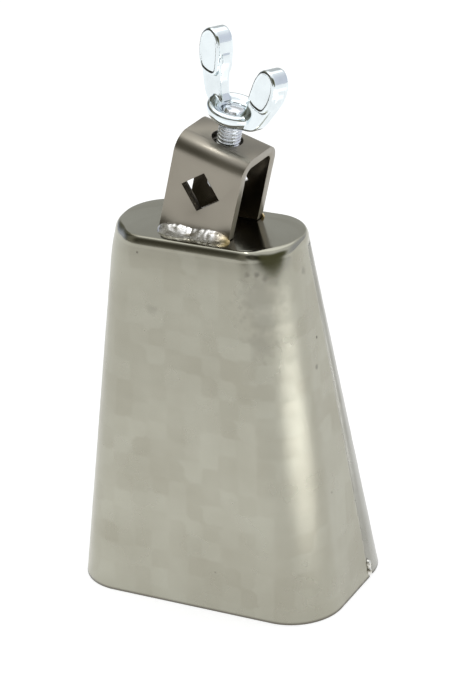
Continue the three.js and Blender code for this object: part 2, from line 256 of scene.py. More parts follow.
def hammered(length, z):
    """Height of the surface over its mean at a place on the sheet: a squarish dish round each blow."""
    across, up = length / BLOW_WIDTH, z / BLOW_HEIGHT
    nearest = 1.0
    for column in range(math.floor(across) - 1, math.floor(across) + 2):
        for row in range(math.floor(up) - 1, math.floor(up) + 2):
            centre_x, centre_z = blow_centre(column, row)
            nearest = min(nearest, ((across - centre_x) ** 4 + (up - centre_z) ** 4) ** 0.25)
    return DISH_DEPTH * (nearest * nearest * 2 - 0.5)


def fade(z, low, high):
    """A smooth step from 0 at the low value to 1 at the high one."""
    share = min(max((z - low) / (high - low), 0), 1)
    return share * share * (3 - 2 * share)


# ---- bell pieces ----

MOUTH_Z = 0.17  # of the outer edge of the mouth; the leaning sheet's inner edge is lower
WALL_ROWS = 100
FRONT_COLUMNS = 124
REAR_COLUMNS = 90  # of the top plate, behind the seams
BACK_COLUMNS = 136  # of the rear shell
ROLL_STEPS = 9
PLATE_RINGS = 16
CUT_EDGE_ROUND = 0.22

# the dishes fade in over the mouth's edge, and out below the rolled edge
DISHES_FADE_IN = (0, 2)
DISHES_FADE_OUT = (SHOULDER_Z - 9, SHOULDER_Z - 3)

# the wall draws in under the rolled edge, from this height up
EASE_LOW_Z, EASE_DEPTH = 114.5, 0.9
EASE_ENDS = (34, 44)  # it fades out between these lengths from the front's middle
CORNER_LENGTH, CORNER_SPREAD, CORNER_DEPTH = 29.5, 5.5, 1.5


def ease(length, z):
    """How far the pressing draws in under its rolled edge, most of all at the front corners."""
    rise = max(0, (z - EASE_LOW_Z) / (BELL_HEIGHT - EASE_LOW_Z))
    corner = CORNER_DEPTH * math.exp(-((abs(length) - CORNER_LENGTH) / CORNER_SPREAD) ** 2)
    return rise ** 2 * EASE_DEPTH * (1 - fade(abs(length), *EASE_ENDS)) + rise ** 3 * corner


def hammered_point(outline, length, z, depth=0.0):
    """A point of the hammered wall, sunk by a depth."""
    (x, y), (normal_x, normal_y) = along(outline, length)
    strength = fade(z, *DISHES_FADE_IN) * (1 - fade(z, *DISHES_FADE_OUT))
    out = hammered(length, z) * strength - depth
    out -= ease(length, z)
    return x + normal_x * out, y + normal_y * out, z


def wall_levels(top):
    """The heights of the wall's rows, from the mouth to its top."""
    return [MOUTH_Z + (top - MOUTH_Z) * step / WALL_ROWS for step in range(WALL_ROWS + 1)]


def front_wall():
    """The front panel and its side flanges: the points, and where they lie on the flattened sheet."""
    points, sheet = [], []
    for z in wall_levels(SEAM_TOP_Z):
        outline = wall_outline(z)
        seam = seam_length(outline, z)
        for column in range(FRONT_COLUMNS + 1):
            length = seam * (2 * column / FRONT_COLUMNS - 1)
            points.append(hammered_point(outline, length, z))
            sheet.append((length, z))
    return points, sheet


def cap_rings():
    """The full rings from the skirt's lower edge up over the roll and in across the top plate: the
    outline, height and shrinking of each."""
    roll_z = BELL_HEIGHT - ROLL_HEIGHT
    rings = [(wall_outline(z), z, 1.0) for z in (SEAM_TOP_Z, (SEAM_TOP_Z + roll_z) / 2, roll_z)]
    for step in range(1, ROLL_STEPS + 1):
        turn = step / ROLL_STEPS * math.pi / 2
        inset = ROLL_INSET * (1 - math.cos(turn))
        rings.append((wall_outline(roll_z) - inset, roll_z + ROLL_HEIGHT * math.sin(turn), 1.0))
    plate_edge = rings[-1][0]
    return rings + [(plate_edge, BELL_HEIGHT, 1 - ring / PLATE_RINGS) for ring in range(1, PLATE_RINGS)]


def ring_length(column, outline):
    """The length along a full ring at a column: the front's columns first, then the rear's."""
    seam = seam_length(outline, SEAM_TOP_Z)
    if column <= FRONT_COLUMNS:
        return seam * (2 * column / FRONT_COLUMNS - 1)
    whole = 2 * half_perimeter(outline)
    length = seam + (whole - 2 * seam) * (column - FRONT_COLUMNS) / REAR_COLUMNS
    return length - whole if length > whole / 2 else length


def make_sheet(piece):
    """Gives a surface the sheet's thickness, inwards, and rounds its cut edges."""
    add_modifier(piece, "SOLIDIFY", thickness=SHEET * MM, offset=-1, use_even_offset=True)
    round_edges(piece, CUT_EDGE_ROUND, segments=2, angle=50)
    apply_modifiers(piece)
    return piece


def front_shell():
    """The front panel, its side flanges, the rolled edge and the top plate, as one drawn sheet."""
    points, sheet = front_wall()
    faces = grid_faces(WALL_ROWS + 1, FRONT_COLUMNS + 1)
    ring_start = len(points) - (FRONT_COLUMNS + 1)
    columns = FRONT_COLUMNS + REAR_COLUMNS
    rings = cap_rings()
    for index, (outline, z, shrink) in enumerate(rings):
        # the wall's last row is the front of the first ring
        first = FRONT_COLUMNS + 1 if index == 0 else 0
        for column in range(first, columns):
            length = ring_length(column, outline)
            (x, y), (normal_x, normal_y) = along(outline, length)
            drawn_in = ease(length, z)
            x, y = x - normal_x * drawn_in, y - normal_y * drawn_in
            points.append((x * shrink, y * shrink, z))
            sheet.append((length * shrink, z))
    for face in grid_faces(len(rings), columns, closed=True):
        faces.append(tuple(ring_start + i for i in face))
    points.append((0, 0, BELL_HEIGHT))
    sheet.append((0, BELL_HEIGHT))
    last = len(points) - 1 - columns
    faces += [(last + i, last + (i + 1) % columns, len(points) - 1) for i in range(columns)]
    return make_sheet(mesh_piece("front_shell_sheet", points, faces, sheet=sheet))


def rear_shell():
    """The rear panel, stepped in at both sides to pass behind the front shell's flanges."""
    points, sheet = [], []
    for z in wall_levels(REAR_TOP_Z):
        outline = wall_outline(z)
        start = seam_length(outline, z) - LAP
        whole = 2 * half_perimeter(outline)
        for column in range(BACK_COLUMNS + 1):
            length = start + (whole - 2 * start) * column / BACK_COLUMNS
            past = min(length, whole - length) - start - LAP - GAP
            tuck = (SHEET + GAP) * (1 - fade(past, 0, JOGGLE))
            length = length - whole if length > whole / 2 else length
            points.append(hammered_point(outline, length, z, depth=tuck))
            sheet.append((length, z))
    faces = grid_faces(WALL_ROWS + 1, BACK_COLUMNS + 1)
    return make_sheet(mesh_piece("rear_shell_sheet", points, faces, sheet=sheet))


# ---- bracket ----

BEND_STEPS = 12
HOLE_STEPS = 64
STRAP_EDGE_ROUND = 0.55


def strap_profile():
    """The bent strap's outline, in the plane of the legs' depth and the screw's axis."""
    half, outer = STRAP_DEPTH / 2, STRAP_BEND + STRAP_SHEET
    foot = -STRAP_HEIGHT - STRAP_WIDTH / 2
    lines = []
    for radius, inset in ((outer, 0), (STRAP_BEND, STRAP_SHEET)):
        line = [(-half + inset, foot)]
        for side, first in ((-1, math.pi), (1, math.pi / 2)):
            for step in range(BEND_STEPS + 1):
                turn = first - step / BEND_STEPS * math.pi / 2
                line.append((side * (half - outer) + radius * math.cos(turn),
                             -outer + radius * math.sin(turn)))
        line.append((half - inset, foot))
        lines.append(line)
    return lines[0] + lines[1][::-1]


def prism(name, outline, depth, placed):
    """A straight solid: the outline lies in y and z of the frame, the depth along x about its middle."""
    count = len(outline)
    points = [(side * depth / 2, y, z) for side in (-1, 1) for y, z in outline]
    faces = [tuple(range(count)), tuple(range(2 * count - 1, count - 1, -1))]
    faces += [(i, i + count, (i + 1) % count + count, (i + 1) % count) for i in range(count)]
    piece = mesh_piece(name, points, faces, placed)
    face_outwards(piece)
    return piece


def rod_hole_cut():
    """The square hole on edge, through both legs."""
    diamond = ROD_HOLE_SIDE / math.sqrt(2)
    square = [(diamond, 0), (0, diamond), (-diamond, 0), (0, -diamond)]
    across = SCREW_FRAME @ Matrix.Translation(Vector((ROD_HOLE_X, 0, ROD_HOLE_Z)) * MM)
    through = across @ Matrix.Rotation(math.pi / 2, 4, "Z")
    return prism("rod_hole_cut", square, STRAP_DEPTH * 2, through)


def screw_hole_cut(strap_frame):
    """The round hole through the top."""
    turns = [i / HOLE_STEPS * math.tau for i in range(HOLE_STEPS)]
    circle = [(SCREW_HOLE_RADIUS * math.cos(turn), SCREW_HOLE_RADIUS * math.sin(turn)) for turn in turns]
    upright = strap_frame @ Matrix.Rotation(math.pi / 2, 4, "Y")
    return prism("screw_hole_cut", circle, STRAP_DEPTH / 2, upright)


def foot_cut():
    """Everything below the gap over the bell's top plate, so that the leaning legs end flat on it."""
    slab = STRAP_WIDTH * 2
    square = [(-slab, -slab), (slab, -slab), (slab, GAP), (-slab, GAP)]
    return prism("plate_cut", square, slab * 2, FOOT_FRAME)


def mounting_bracket():
    """The bent strap with its holes."""
    strap_frame = SCREW_FRAME @ Matrix.Translation(Vector((-SCREW_X, 0, 0)) * MM)
    piece = prism("mounting_bracket_strap", strap_profile(), STRAP_WIDTH, strap_frame)
    cut(piece, [rod_hole_cut(), screw_hole_cut(strap_frame), foot_cut()])
    round_edges(piece, STRAP_EDGE_ROUND, segments=4)
    add_modifier(piece, "WEIGHTED_NORMAL", mode="FACE_AREA", weight=100, keep_sharp=True)
    apply_modifiers(piece, sharp=60)
    return piece


def paint_shade_inside(piece):
    """Gives the inside of the bend and the rod holes' walls a dark copy of the strap's plate: painted
    shade inside the bend, where the legs keep the light out, and darker walls in the holes.
    """
    piece.data.materials.append(STRAP_INSIDE_SHADE)
    to_strap = SCREW_FRAME.inverted()
    margin = 0.1
    for face in piece.data.polygons:
        centre = to_strap @ face.center / MM
        normal = to_strap.to_3x3() @ face.normal
        between_legs = abs(centre.y) < STRAP_DEPTH / 2 - STRAP_SHEET + margin
        inside = between_legs and centre.z < margin - STRAP_SHEET and abs(normal.x) < 0.5
        from_hole = abs(centre.x - ROD_HOLE_X) + abs(centre.z - ROD_HOLE_Z)
        in_hole = from_hole < ROD_HOLE_SIDE / math.sqrt(2) + margin and abs(normal.y) < 0.5
        if in_hole or inside:
            face.material_index = 1


# ---- weld beads ----

BEAD_FLATNESS = 1.45  # 1 is a round bead, 2 a flat one
BEAD_SINK = 0.4  # how deep the beads run into the metal that they join
BEAD_ARC = 12
BEAD_LUMPS = 0.06
BRACKET_BEAD_REACH, BRACKET_BEAD_HEIGHT = 3.6, 3.4
BRACKET_BEAD_STEPS = 90
SEAM_BEAD_LOW, SEAM_BEAD_HIGH = 0.7, 6.3
SEAM_BEAD_WIDTH, SEAM_BEAD_PROUD = 1.1, 1.15
SEAM_BEAD_PAST = 0.55  # from the seam to the bead's middle
SEAM_BEAD_STEPS, SEAM_BEAD_ARC = 36, 14
TACK_X, TACK_Y, TACK_Z = 1.5, 2.5, 1.8
TACK_ROWS, TACK_COLUMNS = 12, 28


def bead(places, height, seed):
    """A lumpy bead. Each place gives a point on the inner corner, the two directions that the bead's toes
    reach out in, and the swell there."""
    points = []
    for corner, first, second, swell in places:
        points.append(corner)
        for step in range(BEAD_ARC + 1):
            turn = step / BEAD_ARC * math.pi / 2
            flat = first * math.cos(turn) ** BEAD_FLATNESS + second * math.sin(turn) ** BEAD_FLATNESS
            spot = corner + flat * swell * height
            lump = 1 + BEAD_LUMPS * noise.noise(spot * 0.7 + Vector((seed, 0, 0)))
            lump += BEAD_LUMPS * 0.4 * noise.noise(spot * 1.8 + Vector((0, seed, 0)))
            points.append(corner + (spot - corner) * lump)
    columns = BEAD_ARC + 2
    rows = len(places)
    faces = grid_faces(rows, columns, closed=True)
    faces += [tuple(range(columns)), tuple(range((rows - 1) * columns, rows * columns))[::-1]]
    return points, faces


def lobed(share, lobes, waist):
    """Swell along a bead: rounded ends, and a waist between the lobes of each pass of the torch."""
    ends = (1 - abs(2 * share - 1) ** 7) ** 0.5
    return max(0.05, ends * (1 - waist + waist * abs(math.sin(lobes * math.pi * share)) ** 0.6))


def bracket_weld(name, side, start_x, end_x, seed):
    """A fillet bead along the foot of a leg; side is -1 for the front leg and 1 for the rear leg."""
    outwards = Vector((0, side * BRACKET_BEAD_REACH / BRACKET_BEAD_HEIGHT, 0))
    places = []
    for step in range(BRACKET_BEAD_STEPS + 1):
        share = step / BRACKET_BEAD_STEPS
        x = start_x + (end_x - start_x) * share
        ripple = 0.012 * math.sin(x * 2.6 + 0.8 * math.sin(x * 0.9))
        swell = lobed(share, 2, 0.24) * (1 + ripple)
        corner = Vector((x, side * (STRAP_DEPTH / 2 - BEAD_SINK), -BEAD_SINK / 3))
        places.append((corner, outwards, Vector((0, 0, 1)), swell))
    points, faces = bead(places, BRACKET_BEAD_HEIGHT, seed)
    piece = mesh_piece(name, points, faces, FOOT_FRAME, sharp=70)
    face_outwards(piece)
    return piece


def seam_weld(name, side, seed):
    """Two short blobs of weld over the bottom of a side seam, outside the shells."""
    points = []
    for step in range(SEAM_BEAD_STEPS + 1):
        share = step / SEAM_BEAD_STEPS
        z = SEAM_BEAD_LOW + (SEAM_BEAD_HIGH - SEAM_BEAD_LOW) * share
        outline = wall_outline(z)
        middle = seam_length(outline, z) + SEAM_BEAD_PAST + 1.0 * (share - 0.4)
        swell = lobed(share, 2, 0.3)
        for index in range(SEAM_BEAD_ARC + 1):
            turn = math.pi * index / SEAM_BEAD_ARC
            across = SEAM_BEAD_WIDTH * swell * math.cos(turn)
            (x, y), (normal_x, normal_y) = along(outline, middle + across)
            lump = 1 + 0.25 * noise.noise(Vector((index * 0.4, z * 1.3, seed)))
            out = SEAM_BEAD_PROUD * swell * lump * math.sin(turn) - BEAD_SINK
            points.append((side * (x + normal_x * out), y + normal_y * out, z))
    rows, columns = SEAM_BEAD_STEPS + 1, SEAM_BEAD_ARC + 1
    faces = grid_faces(rows, columns, closed=True)
    faces += [tuple(range(columns)), tuple(range((rows - 1) * columns, rows * columns))[::-1]]
    piece = mesh_piece(name, points, faces, sharp=70)
    face_outwards(piece)
    return piece


def nut_tack(name, side, seed):
    """A dab of weld between a corner of the nut and the underside of the bracket's top."""
    corner_radius = NUT_FLATS / 2 / math.cos(math.pi / 6)
    middle = Vector((side * (corner_radius + GAP), 0, -STRAP_SHEET - GAP))
    points = []
    for row in range(TACK_ROWS + 1):
        sink = row / TACK_ROWS * math.pi / 2
        for column in range(TACK_COLUMNS):
            turn = column / TACK_COLUMNS * math.pi - math.pi / 2
            spot = Vector((side * TACK_X * math.cos(turn) * math.cos(sink),
                           TACK_Y * math.sin(turn) * math.cos(sink), -TACK_Z * math.sin(sink)))
            spot *= 1 + 0.15 * noise.noise(spot + Vector((seed, 0, 0)))
            spot.x += side * 0.35 * abs(spot.y)
            points.append(middle + spot)
    faces = grid_faces(TACK_ROWS + 1, TACK_COLUMNS, closed=True)
    faces += [tuple(range(TACK_COLUMNS))[::-1]]
    piece = mesh_piece(name, points, faces, SCREW_FRAME, sharp=60)
    face_outwards(piece, merge=True)
    return piece


# ---- screw pieces ----

CREST_FLATNESS = 1.15  # 1 is a plain wave, more has flatter crests
STUD_COLUMNS, ROWS_PER_PITCH = 48, 10
CHAMFER_SLOPE, CHAMFER_DEPTH = 0.9, 0.5
NUT_COLUMNS, NUT_ROWS = 96, 14
NUT_CHAMFER = 1.5
BORE_FLARE, BORE_FLARE_DEPTH = 0.6, 0.8


def thread_radius(turn, z):
    """The thread's surface: a helix of the pitch with rounded crests and roots."""
    phase = (z / PITCH - turn / math.tau) % 1
    wave = 0.5 + 0.5 * math.cos(phase * math.tau)
    return THREAD_ROOT + (THREAD_OUTER - THREAD_ROOT) * min(1, wave * CREST_FLATNESS)


def threaded_stud():
    """The stud with its helical thread and chamfered ends."""
    rows = int((STUD_TOP - STUD_TIP) / PITCH * ROWS_PER_PITCH)
    points = []
    for row in range(rows + 1):
        z = STUD_TIP + (STUD_TOP - STUD_TIP) * row / rows
        chamfer = CHAMFER_SLOPE * min(z - STUD_TIP, STUD_TOP - z)
        for column in range(STUD_COLUMNS):
            turn = column / STUD_COLUMNS * math.tau
            radius = min(thread_radius(turn, z), THREAD_ROOT - CHAMFER_DEPTH + chamfer)
            points.append((radius * math.cos(turn), radius * math.sin(turn), z))
    faces = grid_faces(rows + 1, STUD_COLUMNS, closed=True)
    faces.append(tuple(range(STUD_COLUMNS))[::-1])
    faces.append(tuple(range(rows * STUD_COLUMNS, (rows + 1) * STUD_COLUMNS)))
    return mesh_piece("threaded_stud_helix", points, faces, SCREW_FRAME, sharp=50)


def hexagon_radius(turn):
    """From the nut's axis to its hexagon, which has flats towards the legs."""
    from_flat = (turn - math.pi / 2 + math.pi / 6) % (math.pi / 3) - math.pi / 6
    return NUT_FLATS / 2 / math.cos(from_flat)


def weld_nut():
    """A hexagon nut with its flats towards the legs, chamfered ends and a flared bore."""
    top = -STRAP_SHEET - GAP
    bottom = top - NUT_HEIGHT
    rings = []
    for step in range(NUT_ROWS + 1):
        z = top - NUT_HEIGHT * step / NUT_ROWS
        from_end = min(top - z, z - top + NUT_HEIGHT)
        rings.append((z, hexagon_radius(0) - NUT_CHAMFER + from_end, True))
    for z, flare in ((bottom, BORE_FLARE), (bottom + BORE_FLARE_DEPTH, 0),
                     (top - BORE_FLARE_DEPTH, 0), (top, BORE_FLARE)):
        rings.append((z, ENGAGED_RADIUS + flare, False))
    points = []
    for z, radius, outside in rings:
        for column in range(NUT_COLUMNS):
            turn = column / NUT_COLUMNS * math.tau
            reach = min(hexagon_radius(turn), radius) if outside else radius
            points.append((reach * math.cos(turn), reach * math.sin(turn), z))
    faces = torus_faces(len(rings), NUT_COLUMNS)
    piece = mesh_piece("weld_nut_hexagon", points, faces, SCREW_FRAME, sharp=30)
    face_outwards(piece)
    return piece


# ---- wing head ----

WING_TURN = math.radians(-21)
WEB_THICKNESS, PAD_THICKNESS, WING_BEVEL = 4.6, 6.8, 1.0
# distance from the screw's axis and height over the bracket, for all of these lines
HUB_PROFILE = [(ENGAGED_RADIUS, 7.0), (6.1, 7.0), (7.7, 8.1), (8.8, 9.7), (9.1, 11.0),
               (8.8, 12.0), (7.6, 12.5), (6.3, 12.1), (5.2, 11.3), (ENGAGED_RADIUS, 10.6)]
WEB_OUTER = [(7.2, 8.4), (11.7, 10.8), (15.2, 16.8), (18.3, 24.2), (17.4, 29.5)]
WEB_INNER = [(12.5, 30.0), (8.9, 24.5), (8.0, 17.5), (6.6, 13.4), (5.4, 11.6)]
PAD = [(9.4, 19.6), (14.6, 18.9), (16.8, 21.6), (17.8, 25.6), (17.6, 29.4), (15.2, 31.9), (12.2, 31.2),
       (10.4, 28.2), (9.5, 24.4)]
PANEL_RIM, PANEL_WALL, PANEL_DEPTH = 0.1, 0.3, 0.3
WING_VOXEL = 0.2
HUB_COLUMNS = 96
LINE_STEPS, BEVEL_STEPS = 6, 5


def smooth_line(points, steps, closed=False):
    """A Catmull-Rom line through points."""
    count = len(points)
    line = []
    for i in range(count if closed else count - 1):
        if closed:
            p = [Vector(points[(i + k) % count]) for k in (-1, 0, 1, 2)]
        else:
            p = [Vector(points[min(max(i + k, 0), count - 1)]) for k in (-1, 0, 1, 2)]
        for step in range(steps):
            t = step / steps
            square = 2 * p[0] - 5 * p[1] + 4 * p[2] - p[3]
            cube = 3 * p[1] - p[0] - 3 * p[2] + p[3]
            line.append(0.5 * (2 * p[1] + (p[2] - p[0]) * t + square * t * t + cube * t ** 3))
    return line if closed else line + [Vector(points[-1])]


def grown_line(line, by):
    """A closed anticlockwise line moved outwards, or inwards where by is negative."""
    moved = []
    for i, point in enumerate(line):
        before, after = line[i - 1], line[(i + 1) % len(line)]
        sides = [Vector((d.y, -d.x)).normalized() for d in (point - before, after - point)]
        normal = (sides[0] + sides[1]).normalized()
        moved.append(point + normal * by / max(normal.dot(sides[0]), 0.5))
    return moved


def plate(name, line, thickness, turned, panelled):
    """A wing's plate with rounded edges. Its line lies in a plane through the screw's axis."""
    half = thickness / 2
    profile = []
    for step in range(BEVEL_STEPS + 1):
        turn = step / BEVEL_STEPS * math.pi / 2
        profile.append((WING_BEVEL * math.cos(turn), half - WING_BEVEL * (1 - math.sin(turn))))
    if panelled:
        profile += [(-PANEL_RIM, half), (-PANEL_RIM - PANEL_WALL, half - PANEL_DEPTH)]
    profile = [(by, -height) for by, height in reversed(profile)] + profile
    points = [(p.x, height, p.y) for by, height in profile for p in grown_line(line, by)]
    count, rows = len(line), len(profile)
    faces = grid_faces(rows, count, closed=True)
    faces += [tuple(range(count))[::-1], tuple(range((rows - 1) * count, rows * count))]
    placed = SCREW_FRAME @ Matrix.Rotation(WING_TURN + turned, 4, "Z")
    piece = mesh_piece(name, points, faces, placed)
    face_outwards(piece)
    return piece


def join(pieces):
    """One object from several, its first one kept."""
    with bpy.context.temp_override(active_object=pieces[0], selected_editable_objects=pieces):
        bpy.ops.object.join()
    return pieces[0]


def wing_hub():
    """The hub round the stud, turned from its profile."""
    turns = [i / HUB_COLUMNS * math.tau for i in range(HUB_COLUMNS)]
    rows = smooth_line(HUB_PROFILE, 4, closed=True)
    points = [(r * math.cos(turn), r * math.sin(turn), z) for r, z in rows for turn in turns]
    faces = torus_faces(len(rows), HUB_COLUMNS)
    hub = mesh_piece("wing_head_cast", points, faces, SCREW_FRAME)
    face_outwards(hub)
    return hub


def wing_head():
    """The hub and its two arms, each a web with a thicker pad, blended into one casting."""
    web = smooth_line(WEB_OUTER, LINE_STEPS) + smooth_line(WEB_INNER, LINE_STEPS)
    pad = smooth_line(PAD, LINE_STEPS, closed=True)
    parts = [wing_hub()]
    for side, turned in (("right", 0), ("left", math.pi)):
        parts.append(plate(f"wing_web_{side}", web, WEB_THICKNESS, turned, False))
        parts.append(plate(f"wing_pad_{side}", pad, PAD_THICKNESS, turned, True))
    head = join(parts)
    add_modifier(head, "REMESH", mode="VOXEL", voxel_size=WING_VOXEL * MM, use_smooth_shade=True)
    add_modifier(head, "SMOOTH", factor=0.5, iterations=4)
    apply_modifiers(head, sharp=80)
    return head


def shade_panel_walls(piece):
    """Gives the dark material of painted shade to the steps round the wings' sunk panels, where they face
    up or in.
    """
    piece.data.materials.append(PANEL_RECESS_SHADE)
    line = np.array(smooth_line(PAD, LINE_STEPS, closed=True))
    along_line = np.roll(line, -1, axis=0) - line
    square = (along_line ** 2).sum(axis=1)
    to_wing = (SCREW_FRAME @ Matrix.Rotation(WING_TURN, 4, "Z")).inverted()
    sunk = PANEL_RIM + PANEL_WALL / 2
    for face in piece.data.polygons:
        centre = to_wing @ face.center / MM
        if abs(centre.y) < PAD_THICKNESS / 2 - PANEL_DEPTH - WING_VOXEL:
            continue
        from_line = np.array((abs(centre.x), centre.z)) - line
        share = np.clip((from_line * along_line).sum(axis=1) / square, 0, 1)
        away = np.linalg.norm(from_line - along_line * share[:, None], axis=1).min()
        normal = to_wing.to_3x3() @ face.normal
        shaded = normal.z - normal.x > 0.2 * abs(normal.y)
        if abs(away - sunk) < PANEL_WALL and shaded:
            face.material_index = 1


# ---- materials ----

class Nodes:
    """A short way to write a node tree around one Principled BSDF."""

    def __init__(self, name, base, metallic, roughness):
        self.material = bpy.data.materials.new(name)
        self.material.use_nodes = True
        self.tree = self.material.node_tree
        self.shader = self.tree.nodes["Principled BSDF"]
        self.shader.inputs["Base Color"].default_value = (*base, 1)
        self.shader.inputs["Metallic"].default_value = metallic
        self.shader.inputs["Roughness"].default_value = roughness
        self.place = self.tree.nodes.new("ShaderNodeTexCoord").outputs["Object"]

    def node(self, kind, inputs=None, **settings):
        made = self.tree.nodes.new("ShaderNode" + kind)
        for key, value in settings.items():
            setattr(made, key, value)
        for key, value in (inputs or {}).items():
            if isinstance(value, bpy.types.NodeSocket):
                self.tree.links.new(value, made.inputs[key])
            else:
                made.inputs[key].default_value = value
        return made

    def noise(self, scale, detail=3, stretch=(1, 1, 1)):
        """Noise with features of about 1 / scale metres."""
        mapped = self.node("Mapping", {"Vector": self.place, "Scale": stretch})
        return self.node("TexNoise", {"Vector": mapped.outputs["Vector"], "Scale": scale,
                                      "Detail": detail}).outputs["Fac"]

    def ramp(self, value, low, high, out_low, out_high):
        return self.node("MapRange", {"Value": value, "From Min": low, "From Max": high,
                                      "To Min": out_low, "To Max": out_high}).outputs["Result"]

    def blend(self, share, first, second):
        """A colour between two, each given as a colour or a socket."""
        mix = self.node("Mix", data_type="RGBA")
        colours = [socket for socket in mix.inputs if socket.type == "RGBA"]
        for socket, value in zip(colours, (first, second)):
            if isinstance(value, bpy.types.NodeSocket):
                self.tree.links.new(value, socket)
            else:
                socket.default_value = (*value, 1)
        self.tree.links.new(share, mix.inputs[0])
        return next(socket for socket in mix.outputs if socket.type == "RGBA")

    def maths(self, operation, first, second):
        return self.node("Math", {0: first, 1: second}, operation=operation).outputs[0]

    def feed(self, name, socket):
        self.tree.links.new(socket, self.shader.inputs[name])

    def bump(self, height, distance, strength=1.0):
        self.feed("Normal", self.node("Bump", {"Height": height, "Distance": distance,
                                               "Strength": strength}).outputs["Normal"])


# dark colour of real dirt and stains, also used for painted shade and painted dark reflections on the
# bell
DIRT_AND_SHADE = (0.10, 0.09, 0.075)
WELD_GRIME = (0.33, 0.30, 0.24)


def hammer_tone(made):
    """A tone for each hammer blow, under cloudy changes."""
    flat = made.node("Attribute", attribute_name="flat_sheet").outputs["Vector"]
    blows = made.node("TexVoronoi", {"Vector": flat, "Scale": 1 / (BLOW_WIDTH * MM), "Smoothness": 0.3,
                                     "Randomness": 0.45}, feature="SMOOTH_F1", distance="CHEBYCHEV")
    blow = made.node("SeparateColor", {"Color": blows.outputs["Color"]}).outputs["Red"]
    cloud = made.ramp(made.noise(40, 3), 0.3, 0.7, 0, 1.4)
    return made.ramp(made.maths("ADD", blow, cloud), 0.3, 2.1, 0, 1)


def pits_stains_and_reflections(made, stains_and_reflections):
    """A few dark pits in patches, and ragged dark spots, each a point, a radius in mm and a strength:
    real stains, and soft patches of painted dark reflection.
    """
    away = made.node("TexVoronoi", {"Vector": made.place, "Scale": 90.0}).outputs["Distance"]
    pit = made.ramp(away, 0.03, 0.06, 0.8, 0)
    patch = made.ramp(made.noise(30, 1), 0.58, 0.61, 0, 1)
    marks = made.maths("MULTIPLY", pit, patch)
    ragged = made.ramp(made.noise(420, 3), 0.3, 0.7, 0.55, 1.6)
    for point, radius, strength in stains_and_reflections:
        straight = made.node("VectorMath", {0: made.place, 1: point}, operation="DISTANCE")
        away = made.maths("MULTIPLY", straight.outputs["Value"], ragged)
        dark_spot = made.ramp(away, radius * 0.3 * MM, radius * MM, strength, 0)
        marks = made.maths("MAXIMUM", marks, dark_spot)
    return marks


def satin_nickel(name, light, dark, roughness, stains_and_reflections=(), bell=False):
    """Satin plate with its tones and marks. The bell is glossier on its top, and has painted shade along
    the bottom edge of its mouth."""
    made = Nodes(name, light, 1.0, roughness)
    colour = made.blend(hammer_tone(made), light, dark)
    marks = pits_stains_and_reflections(made, stains_and_reflections)
    patchy = made.ramp(made.noise(70, 3), 0.3, 0.7, roughness - 0.03, roughness + 0.03)
    if bell:
        height = made.node("SeparateXYZ", {"Vector": made.place}).outputs["Z"]
        # painted shade along the mouth's bottom edge, blended to the dark colour with the marks
        mouth_edge_shade = made.ramp(height, 0.4 * MM, 1.2 * MM, 0.85, 0)
        marks = made.maths("MAXIMUM", marks, mouth_edge_shade)
        polish = made.ramp(height, (SHOULDER_Z - 4) * MM, SHOULDER_Z * MM, 1, 0.6)
        patchy = made.maths("MULTIPLY", patchy, polish)
    made.feed("Base Color", made.blend(marks, colour, DIRT_AND_SHADE))
    made.feed("Roughness", patchy)
    made.bump(made.noise(1400, 2), 0.00001, 0.02)
    return made.material


def bead_metal(name, bright, tint, edge_x):
    """Bright weld metal, streaked where it flowed, with a straw heat tint past edge_x."""
    made = Nodes(name, bright, 0.85, 0.25)
    grime = made.ramp(made.noise(230, 3, (1, 3, 3)), 0.47, 0.66, 0, 0.9)
    across = made.node("SeparateXYZ", {"Vector": made.place}).outputs["X"]
    heat = made.ramp(across, edge_x - 0.004, edge_x + 0.001, 0, 1)
    colour = made.blend(heat, bright, tint)
    made.feed("Base Color", made.blend(grime, colour, WELD_GRIME))
    made.feed("Roughness", made.ramp(made.noise(500, 3), 0.3, 0.7, 0.18, 0.38))
    made.bump(made.noise(420, 3, (1, 3, 3)), 0.0002, 0.4)
    return made.material


def polished(name, colour, roughness, waviness):
    """Plated and polished metal with a slight waviness and faint rub marks."""
    made = Nodes(name, colour, 1.0, roughness)
    made.feed("Roughness", made.ramp(made.noise(260, 4), 0.35, 0.75, roughness * 0.7, roughness * 1.8))
    dull = made.ramp(made.noise(120, 3), 0.45, 0.8, 0, 1)
    darker = tuple(0.86 * channel for channel in colour)
    made.feed("Base Color", made.blend(dull, colour, darker))
    made.bump(made.noise(180, 2), 0.0001, waviness)
    return made.material


def on_wall(length, z):
    """A point on the front shell's wall, in metres."""
    return tuple(Vector(hammered_point(wall_outline(z), length, z)) * MM)


# length along the outline, height, radius in millimetres, strength; the three wide soft patches near
# length 26 are painted dark reflection at the front right corner, the rest are real smudges and pits
STAINS_AND_DARK_REFLECTIONS = [(22, 120, 1.3, 0.35), (25, 120, 1.4, 0.5), (27.5, 118.5, 1.6, 0.35), (44, 116.5, 1.7, 0.3),
          (49.5, 83.5, 1.2, 0.5), (55, 40, 0.6, 0.8), (26, 112, 10, 0.2), (27.5, 104.5, 6, 0.2),
          (26.5, 97, 6, 0.2), (-18, 122, 0.6, 0.7), (-13, 103, 2.5, 0.15)]
PLACED_STAINS_AND_REFLECTIONS = [(on_wall(length, z), radius, strength) for length, z, radius, strength in STAINS_AND_DARK_REFLECTIONS]
SHELL_NICKEL = satin_nickel("satin_shell", (0.412, 0.405, 0.340), (0.350, 0.338, 0.276), 0.26,
                            PLACED_STAINS_AND_REFLECTIONS, bell=True)
REAR_NICKEL = satin_nickel("satin_rear_shell", (0.385, 0.382, 0.350), (0.330, 0.325, 0.292), 0.26,
                           bell=True)
